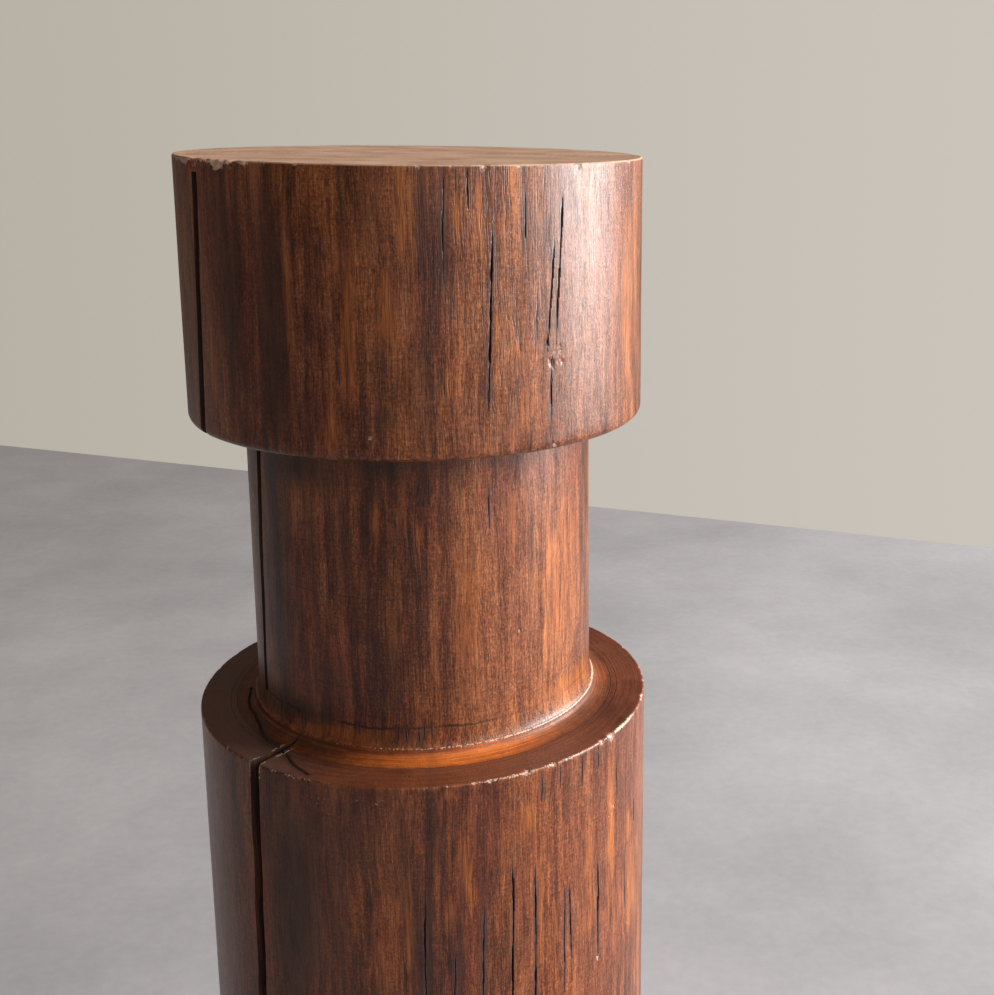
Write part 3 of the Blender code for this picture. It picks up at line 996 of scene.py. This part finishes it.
def wood_material():
    """Old hardwood under oil and wax: upright fibres, dark pores, orange where it is worn."""
    paint = Paint(bpy.data.materials.new("oiled_wood"))
    height = paint.node("SeparateXYZ", inputs={0: paint.place}, output=2)
    side = paint.node("SeparateXYZ", inputs={0: paint.place}, output=0)
    flat = paint.vector("MULTIPLY", paint.place, (1.0, 1.0, 0.0))
    radius = paint.node("VectorMath", {"operation": "LENGTH"}, {0: flat}, output=1)

    # Fibres sway a little on their way up
    sway = paint.push(9.0, 2.0, 0.006)
    ripple = paint.push(60.0, 1.0, 0.0010)
    drift = paint.push(24.0, 1.0, 0.0026)
    fibre_place = paint.place
    for aside in (sway, ripple, drift):
        fibre_place = paint.vector("ADD", fibre_place, aside)

    bands = paint.noise(55.0, 0.05, 2.0, 0.5, (0.0, 0.0, 0.0), fibre_place)
    streaks = paint.noise(180.0, 0.045, 3.0, 0.6, (3.0, 1.0, 0.0), fibre_place)
    fibres = paint.noise(620.0, 0.060, 3.0, 0.70, (5.0, 2.0, 7.0), fibre_place)
    hairs = paint.noise(1500.0, 0.080, 2.0, 0.6, (1.0, 9.0, 4.0), fibre_place)
    grit = paint.noise(800.0, 0.70, 3.0, 0.75, (9.0, 2.0, 5.0))
    tooling = paint.noise(90.0, 12.0, 2.0, 0.6, (6.0, 6.0, 1.0))
    blotch = paint.noise(14.0, 0.5, 3.0, 0.6, (8.0, 4.0, 2.0))
    flecks = paint.noise(120.0, 0.25, 3.0, 0.65, (4.0, 8.0, 6.0), fibre_place)

    smoke = paint.mask("smoke")
    fine = (fibres - 0.5) * 0.60 + (hairs - 0.5) * 0.35 + (grit - 0.5) * 1.00
    broad = (bands - 0.5) * 0.95 + (streaks - 0.5) * 0.85 + (blotch - 0.5) * 0.35 + (flecks - 0.5) * 0.40
    even = paint.mask("even")
    tone = 0.5 + broad * (1 - even * 0.70) + fine * (1 - smoke * 0.5)
    tone = tone + (tooling - 0.5) * 0.25 + even * 0.05
    body = paint.ramp(tone, (
        (0.22, (0.042, 0.011, 0.005)),
        (0.40, (0.100, 0.026, 0.009)),
        (0.52, (0.165, 0.047, 0.015)),
        (0.64, (0.245, 0.078, 0.026)),
        (0.82, (0.400, 0.142, 0.052)),
    ))

    # Broad areas turn golden or redder
    patch = paint.noise(22.0, 0.30, 2.0, 0.5, (5.0, 9.0, 3.0), fibre_place)
    golden = paint.tint(body, 1.35, 1.28, 0.90)
    redder = paint.tint(body, 0.82, 0.60, 0.72)
    body = paint.mix(paint.spread(patch, 0.50, 0.64) * (0.60 - even * 0.45), body, golden)
    body = paint.mix((1 - paint.spread(patch, 0.36, 0.50)) * (0.75 - even * 0.45), body, redder)
    # A cool tint where even: painted sheen haze, most of it on the lit right side
    body = paint.mix(even * 0.5, body, paint.tint(body, 0.97, 0.97, 1.25))

    # The drum is tinted darker and warmer than the neck and the cap
    drum = 1 - paint.spread(height, SHOULDER - 0.0030, SHOULDER + 0.0010)
    body = paint.mix(drum, body, paint.tint(body, 0.88, 0.77, 0.66))

    # Orange where the finish has worn thin, along the fibres
    amber = paint.mask("amber")
    thin = streaks * 0.25 + fibres * 0.20 + flecks * 0.35 + grit * 0.20 + amber * 0.16
    thin = paint.spread(thin, 0.46, 0.62)
    worn_wood = paint.ramp(fibres * 0.6 + streaks * 0.4, (
        (0.34, (0.150, 0.038, 0.008)), (0.52, (0.330, 0.095, 0.018)), (0.68, (0.560, 0.190, 0.036))))
    body = paint.mix(thin * amber, body, worn_wood)

    # Dark, smoky old wax, and painted shade in a ring under the cap's overhang
    soot_and_shade = paint.spread(blotch * 0.5 + bands * 0.5 + smoke * 0.25, 0.50, 0.72) * (1 - even * 0.8)
    soot_and_shade = paint.maths("MAXIMUM", soot_and_shade * 0.45, smoke * (0.55 + streaks * 0.8), clamp=True)
    body = paint.mix(soot_and_shade * 0.86, body, colour(0.034, 0.013, 0.010))

    # Fine dark lines between the fibres, and pores
    seam = paint.apart(paint.noise(300.0, 0.020, 3.0, 0.55, (7.0, 3.0, 5.0), fibre_place), 0.5)
    lined = paint.spread(paint.noise(45.0, 0.18, 2.0, 0.5, (2.0, 5.0, 8.0)), 0.42, 0.60)
    seams = (1 - paint.spread(seam, 0.006, 0.034)) * lined
    seam = paint.apart(paint.noise(640.0, 0.020, 2.0, 0.5, (1.0, 4.0, 9.0), fibre_place), 0.5)
    seams = paint.most(seams, (1 - paint.spread(seam, 0.008, 0.055)) * (1.1 - lined) * 0.65)
    pores = paint.spread(paint.noise(1900.0, 0.050, 1.0, 0.5, (2.0, 6.0, 3.0), fibre_place), 0.60, 0.72)
    body = paint.mix(paint.most(seams * 0.66, pores * 0.55), body, paint.tint(body, 0.24, 0.19, 0.22))

    # Shoulder: an orange hollow ring, a dark band with fine turning lines
    level_face = paint.spread(height, SHOULDER - 0.0008, SHOULDER - 0.0001)
    level_face = level_face * (1 - paint.spread(height, LIP_TOP - 0.0010, LIP_TOP - 0.0002))
    in_ring = 1 - paint.spread(radius, RING_RADIUS - 0.0010, RING_RADIUS + 0.0006)
    turned = paint.node("CombineXYZ", inputs={0: radius * 900.0, 1: height * 900.0, 2: blotch * 6.0})
    circles = paint.node("TexNoise", {"noise_dimensions": "3D"}, {0: turned, 2: 1.0, 3: 2.0})
    ring_colour = paint.ramp(circles * 0.5 + flecks * 0.2 + blotch * 0.3 + (amber - 0.5) * 0.18, (
        (0.34, (0.060, 0.018, 0.007)), (0.48, (0.200, 0.052, 0.012)), (0.56, (0.370, 0.085, 0.012)),
        (0.70, (0.620, 0.165, 0.024))))
    band_colour = paint.ramp(circles * 0.5 + blotch * 0.5, (
        (0.36, (0.050, 0.014, 0.007)), (0.52, (0.130, 0.036, 0.014)), (0.68, (0.210, 0.066, 0.026))))
    ring_colour = paint.mix(paint.spread(side, 0.045, 0.115) * 0.65, ring_colour, band_colour)
    shoulder = paint.mix(in_ring, paint.tint(band_colour, 0.86, 0.82, 0.84), ring_colour)
    # Paler grey over the left part of the band
    pale_left = paint.spread(side, -0.100, -0.055, 1.0, 0.0) * (1 - in_ring)
    shoulder = paint.mix(pale_left * 0.45, shoulder, colour(0.150, 0.112, 0.100))
    shoulder = paint.mix(smoke * 0.85, shoulder, colour(0.026, 0.014, 0.011))
    body = paint.mix(level_face * 0.9, body, shoulder)
    lines = 0.0
    for line_radius, half in SHOULDER_LINES:
        away = paint.apart(radius, line_radius)
        lines = paint.most(lines, 1 - paint.spread(away, half * 0.4, half * 1.5))
    lines = lines * level_face

    # Tool lines round the neck
    wavering = height + (blotch - 0.5) * 0.007 + (flecks - 0.5) * 0.003
    fading = paint.spread(side, -0.01, 0.06, 1.0, 0.35)
    for line_height, half, strength in NECK_LINES:
        away = paint.apart(wavering, line_height)
        groove = 1 - paint.spread(away, half * 0.4, half * 1.6)
        broken = paint.spread(paint.noise(34.0, 0.2, 1.0, 0.5, (line_height * 70, 0.0, 0.0)), 0.32, 0.52)
        lines = paint.most(lines, groove * broken * strength * fading)
    body = paint.mix(lines * 0.85, body, colour(0.012, 0.006, 0.004))

    # Edges of the rims and the chips, rubbed pale, with painted highlights on the lips of the drum's split,
    # the neck's foot lip and the lit right part of the drum's rim
    worn = paint.mask("worn")
    scuffed_and_highlight = paint.spread(worn * 0.8 + (grit - 0.5) * 2.0, 0.30, 0.70) * paint.spread(worn, 0.04, 0.30)
    rubbed_and_highlight = paint.mix(grit, colour(0.30, 0.14, 0.08), colour(0.90, 0.72, 0.58))
    body = paint.mix(scuffed_and_highlight * 0.8, body, rubbed_and_highlight)

    # The top face is rubbed bare: tan end grain with faint rings
    top = paint.spread(height, TOTAL_HEIGHT - 0.0011, TOTAL_HEIGHT - 0.0004)
    grain_place = paint.vector("MULTIPLY", paint.vector("ADD", flat, sway), (1.0, 1.0, 0.0))
    ring_distance = paint.node("VectorMath", {"operation": "LENGTH"},
                               {0: paint.vector("ADD", grain_place, (0.021, -0.012, 0.0))}, output=1)
    rings = paint.node("Math", {"operation": "SINE"}, {0: ring_distance * 1300.0 + blotch * 7.0})
    stain = paint.noise(30.0, 1.0, 4.0, 0.6, (1.0, 1.0, 1.0))
    pits = paint.noise(900.0, 1.0, 2.0, 0.6, (4.0, 1.0, 2.0))
    bare = paint.ramp(stain * 0.6 + rings * 0.02 + pits * 0.4, (
        (0.34, (0.250, 0.140, 0.085)), (0.50, (0.440, 0.275, 0.185)), (0.66, (0.560, 0.375, 0.270))))
    body = paint.mix(top, body, bare)

    # Checks are dark inside: painted shade in their depths, and a cooler painted shade on their sloping
    # edges
    check = paint.mask("check")
    check_edge_shade = paint.mask("check_edge") * paint.spread(flecks, 0.35, 0.60, 0.35, 0.95)
    body = paint.mix(check_edge_shade, body, colour(0.066, 0.040, 0.042))
    check = check * paint.spread(flecks * 0.5 + fibres * 0.5, 0.38, 0.50, 0.45, 0.9)
    body = paint.mix(check, body, colour(0.018, 0.008, 0.007))

    paint.feed(paint.shader.inputs["Base Color"], body)
    gloss = 0.35 + (streaks - 0.5) * 0.22 + (fibres - 0.5) * 0.15 + (blotch - 0.5) * 0.25
    gloss = gloss + worn * 0.15 + check * 0.4 + level_face * 0.12
    gloss = paint.maths("ADD", gloss, top * 0.36, clamp=True)
    paint.feed(paint.shader.inputs["Roughness"], gloss)
    paint.shader.inputs["Specular IOR Level"].default_value = 0.32
    wax = (1 - top) * (1 - level_face * 0.7) * (flecks * 0.46 + grit * 0.24)
    paint.feed(paint.shader.inputs["Coat Weight"], wax)
    paint.shader.inputs["Coat Roughness"].default_value = 0.36

    relief = fibres * 0.50 + hairs * 0.35 + streaks * 0.40 + grit * 0.45 + tooling * 0.22
    relief = relief - pores * 0.30 - seams * 0.5 - lines * 0.5 + rings * top * 0.02 + grit * worn * 0.5
    paint.feed(paint.shader.inputs["Normal"], paint.node(
        "Bump", inputs={"Strength": 0.48, "Distance": 0.00050, "Height": relief}))
    return paint.material


def split_material():
    """The inside of the splits: raw dark wood."""
    paint = Paint(bpy.data.materials.new("split_wood"))
    grain = paint.noise(500.0, 0.05, 3.0, 0.6)
    stain = paint.noise(60.0, 0.2, 2.0, 0.5, (3.0, 2.0, 1.0))
    body = paint.ramp(grain * 0.5 + stain * 0.5, (
        (0.36, (0.012, 0.004, 0.003)), (0.52, (0.038, 0.012, 0.006)), (0.68, (0.110, 0.036, 0.014))))
    paint.feed(paint.shader.inputs["Base Color"], body)
    paint.shader.inputs["Roughness"].default_value = 0.7
    paint.feed(paint.shader.inputs["Normal"], paint.node(
        "Bump", inputs={"Strength": 0.7, "Distance": 0.0006, "Height": grain}))
    return paint.material


def floor_material():
    """Pale, faintly clouded floor."""
    paint = Paint(bpy.data.materials.new("pale_floor"))
    clouds = paint.noise(2.2, 1.0, 5.0, 0.6)
    specks = paint.noise(60.0, 1.0, 3.0, 0.6)
    body = paint.ramp(clouds * 0.8 + specks * 0.2, (
        (0.35, (0.285, 0.287, 0.300)), (0.65, (0.375, 0.377, 0.393))))

    # Greyer right under the window, or that part of the floor would burn out white
    from_window = paint.vector("SUBTRACT", paint.place, (
        WINDOW_DISTANCE * math.sin(WINDOW_BEARING), -WINDOW_DISTANCE * math.cos(WINDOW_BEARING), 0.0))
    away = paint.node("VectorMath", {"operation": "LENGTH"}, {0: from_window}, output=1)
    body = paint.mix(paint.spread(away, 1.3, 4.1, 0.95, 0.0), body, colour(0.0, 0.0, 0.0))
    paint.feed(paint.shader.inputs["Base Color"], body)
    paint.shader.inputs["Roughness"].default_value = 0.85
    paint.shader.inputs["Specular IOR Level"].default_value = 0.12
    return paint.material


# The plinth

def build_plinth():
    """Turn, refine, weather, split and paint the plinth."""
    piece = turn_blank("plinth_wood")
    refine(piece)
    bpy.ops.object.mode_set(mode="OBJECT")
    piece.data.materials.append(wood_material())
    weather(piece)
    cut_splits(piece, split_material())
    make_active(piece)
    bpy.ops.object.mode_set(mode="EDIT")
    bpy.ops.mesh.select_all(action="SELECT")
    bpy.ops.mesh.dissolve_degenerate(threshold=0.000001)
    bpy.ops.object.mode_set(mode="OBJECT")
    bpy.ops.object.shade_smooth_by_angle(angle=SMOOTH_ANGLE)
    paint_masks(piece)
    return piece


plinth = build_plinth()
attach(plinth, "root")
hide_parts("plinth")
print("plinth triangles", sum(len(face.vertices) - 2 for face in plinth.data.polygons))
print("materials", [slot.name for slot in plinth.data.materials])


# Floor, light and camera

def build_stage():
    """A pale floor, one large soft light from the right and pale air all round."""
    clean_slate()
    bpy.ops.mesh.primitive_plane_add(size=FLOOR_SIZE, location=(0.0, FLOOR_FAR_EDGE - FLOOR_SIZE / 2, 0.0))
    floor = bpy.context.object
    bpy.ops.object.transform_apply(location=True)
    floor.name = "floor"
    floor.data.materials.append(floor_material())
    floor.data.transform(Matrix.Rotation(FLOOR_TURN, 4, "Z"))

    light = bpy.data.lights.new("window_light", "AREA")
    light.shape = "RECTANGLE"
    light.size, light.size_y = WINDOW_SIZE
    light.energy = WINDOW_POWER
    light.color = (1.0, 0.975, 0.95)
    lamp = bpy.data.objects.new("window_light", light)
    bpy.context.scene.collection.objects.link(lamp)
    lamp.visible_camera = False
    place = Vector((
        WINDOW_DISTANCE * math.sin(WINDOW_BEARING),
        -WINDOW_DISTANCE * math.cos(WINDOW_BEARING),
        WINDOW_HEIGHT,
    ))
    aim = Vector((0.0, 0.0, 0.85)) - place
    lamp.matrix_world = Matrix.Translation(place) @ aim.to_track_quat("-Z", "Y").to_matrix().to_4x4()

    world = bpy.data.worlds.new("pale_air")
    paint = Paint(world, "Background")
    direction = paint.node("TexCoord", output="Generated")
    # The backdrop that the camera sees: painted light, paler towards the window on the right
    rightness = paint.spread(paint.node("SeparateXYZ", inputs={0: direction}, output=0), -0.6, 0.6)
    backdrop = paint.mix(rightness, colour(0.455, 0.415, 0.350), colour(0.600, 0.560, 0.505))
    towards = paint.node("VectorMath", {"operation": "DOT_PRODUCT"}, {0: direction, 1: FILL_SIDE}, output=1)
    room = paint.mix(paint.spread(towards, -0.25, 0.95), colour(*ROOM_DIM), colour(*ROOM_BRIGHT))
    seen = paint.node("LightPath", output=0)
    paint.feed(paint.shader.inputs["Color"], paint.mix(seen, room, backdrop))
    bpy.context.scene.world = world
    bpy.context.scene.view_settings.view_transform = "Standard"


def build_camera():
    """The camera, at the photograph's viewing angle."""
    forward = Vector((
        math.sin(CAMERA_TURN) * math.cos(CAMERA_TILT),
        math.cos(CAMERA_TURN) * math.cos(CAMERA_TILT),
        -math.sin(CAMERA_TILT),
    ))
    level = Vector((math.cos(CAMERA_TURN), -math.sin(CAMERA_TURN), 0.0))
    upright = level.cross(forward)
    across = math.cos(CAMERA_LEAN) * level + math.sin(CAMERA_LEAN) * upright
    upwards = -math.sin(CAMERA_LEAN) * level + math.cos(CAMERA_LEAN) * upright
    turn = Matrix((across, upwards, -forward)).transposed().to_4x4()
    data = bpy.data.cameras.new("camera")
    data.lens = CAMERA_LENS
    data.shift_x, data.shift_y = CAMERA_SHIFT
    data.clip_start = 0.05
    camera = bpy.data.objects.new("camera", data)
    bpy.context.scene.collection.objects.link(camera)
    camera.matrix_world = Matrix.Translation(Vector(CAMERA_PLACE)) @ turn
    bpy.context.scene.camera = camera


build_stage()
build_camera()
